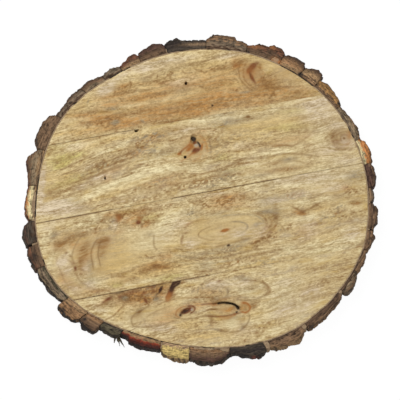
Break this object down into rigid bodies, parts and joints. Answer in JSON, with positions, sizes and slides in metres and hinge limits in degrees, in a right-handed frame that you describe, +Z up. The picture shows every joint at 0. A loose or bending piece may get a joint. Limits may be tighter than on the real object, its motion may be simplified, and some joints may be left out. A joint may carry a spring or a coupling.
{
  "type": "round chopping board",
  "caption": "Round wooden chopping board of edge-glued planks, with pieces of natural bark glued round its edge.",
  "frame": {"origin": "on the underside, in the middle of the planks", "axes": "+Z up out of the work surface, +X to the right and +Y away from the person using it"},
  "size_m": [0.356, 0.3409, 0.018],
  "materials": {
    "plank_wood": "planed and lightly oiled hardwood, pale straw with brown knots",
    "seam_glue": "dark dried wood glue",
    "rim_filler": "dried glue and sawdust, brown",
    "wad_filler": "dried glue and sawdust, tan",
    "bark_brown": "rough brown bark, sawn top",
    "bark_dark": "rough dark bark, sawn top",
    "bark_grey": "weathered grey-brown bark, sawn top",
    "bark_slate": "dark grey bark, sawn top",
    "bark_russet": "reddish brown bark, sawn top",
    "bark_maroon": "dark red-brown bark, sawn top",
    "bark_orange": "orange inner bark with a yellow edge",
    "bark_golden": "golden brown bark",
    "bark_cream": "pale inner bark in cream and orange bands",
    "bark_red": "red inner bark with a black skin",
    "bark_yellow": "pale yellow inner bark with a black skin"
  },
  "bodies": {
    "root": {"plank_1": "plank_wood", "plank_2": "plank_wood", "plank_3": "plank_wood", "plank_4": "plank_wood", "glue_line_1": "seam_glue", "glue_line_2": "seam_glue", "glue_line_3": "seam_glue", "filler_bed": "rim_filler", "bark_chip_01": "bark_dark", "bark_chip_02": "bark_maroon", "bark_chip_03": "bark_orange", "bark_chip_04": "bark_brown", "bark_chip_05": "bark_golden", "bark_chip_06": "bark_brown", "bark_chip_07": "bark_brown", "bark_chip_08": "bark_russet", "bark_chip_09": "bark_grey", "bark_chip_10": "bark_slate", "bark_chip_11": "bark_russet", "bark_chip_12": "bark_russet", "bark_chip_13": "bark_grey", "bark_chip_14": "bark_grey", "bark_chip_15": "bark_grey", "bark_chip_16": "bark_brown", "bark_chip_17": "bark_brown", "bark_chip_18": "bark_cream", "bark_chip_19": "bark_dark", "bark_chip_20": "bark_dark", "bark_chip_21": "bark_slate", "bark_chip_22": "bark_brown", "bark_chip_23": "bark_brown", "bark_chip_24": "bark_grey", "bark_chip_25": "bark_red", "bark_chip_26": "bark_yellow", "bark_chip_27": "bark_brown", "bark_chip_28": "bark_dark", "bark_chip_29": "bark_brown", "bark_chip_30": "bark_dark", "bark_chip_31": "bark_brown", "bark_chip_32": "bark_maroon", "bark_chip_33": "bark_dark", "bark_chip_34": "bark_dark", "filler_wad_01": "wad_filler", "filler_wad_02": "wad_filler", "filler_wad_03": "wad_filler", "filler_wad_04": "wad_filler", "filler_wad_05": "wad_filler", "filler_wad_06": "wad_filler", "filler_wad_07": "wad_filler", "filler_wad_08": "wad_filler", "filler_wad_09": "wad_filler", "filler_wad_10": "wad_filler", "filler_wad_11": "wad_filler", "filler_wad_12": "wad_filler", "filler_wad_13": "wad_filler", "filler_wad_14": "wad_filler"}
  },
  "joints": []
}
